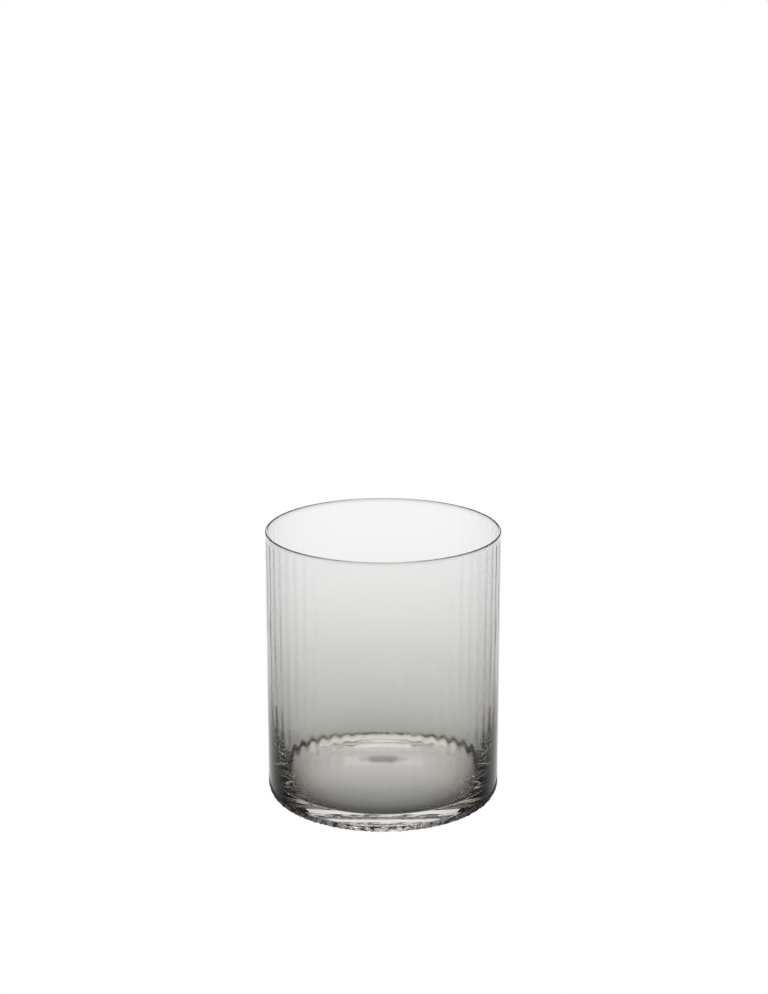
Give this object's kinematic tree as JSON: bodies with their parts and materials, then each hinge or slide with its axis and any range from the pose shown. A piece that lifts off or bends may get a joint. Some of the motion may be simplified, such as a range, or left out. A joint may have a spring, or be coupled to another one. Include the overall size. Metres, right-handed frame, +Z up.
{
  "type": "whiskey tumbler",
  "caption": "Straight-sided smoke-grey tumbler with a fine-ribbed inside wall, a thin rounded lip and a thick clear foot, for holding a short drink.",
  "frame": {"origin": "centre of the foot, on the surface that the glass stands on", "axes": "+Z up along the axis of the glass, out of its mouth; +X and +Y are alike, because the glass is round"},
  "size_m": [0.08, 0.08, 0.094],
  "materials": {
    "clear_glass": "fire-polished colourless glass, fine stippling round its heel",
    "smoke_glass": "fire-polished smoke-grey glass, paler towards the lip, ribbed inside"
  },
  "bodies": {
    "root": {"clear_casing": "clear_glass", "smoke_liner": "smoke_glass"}
  },
  "joints": []
}
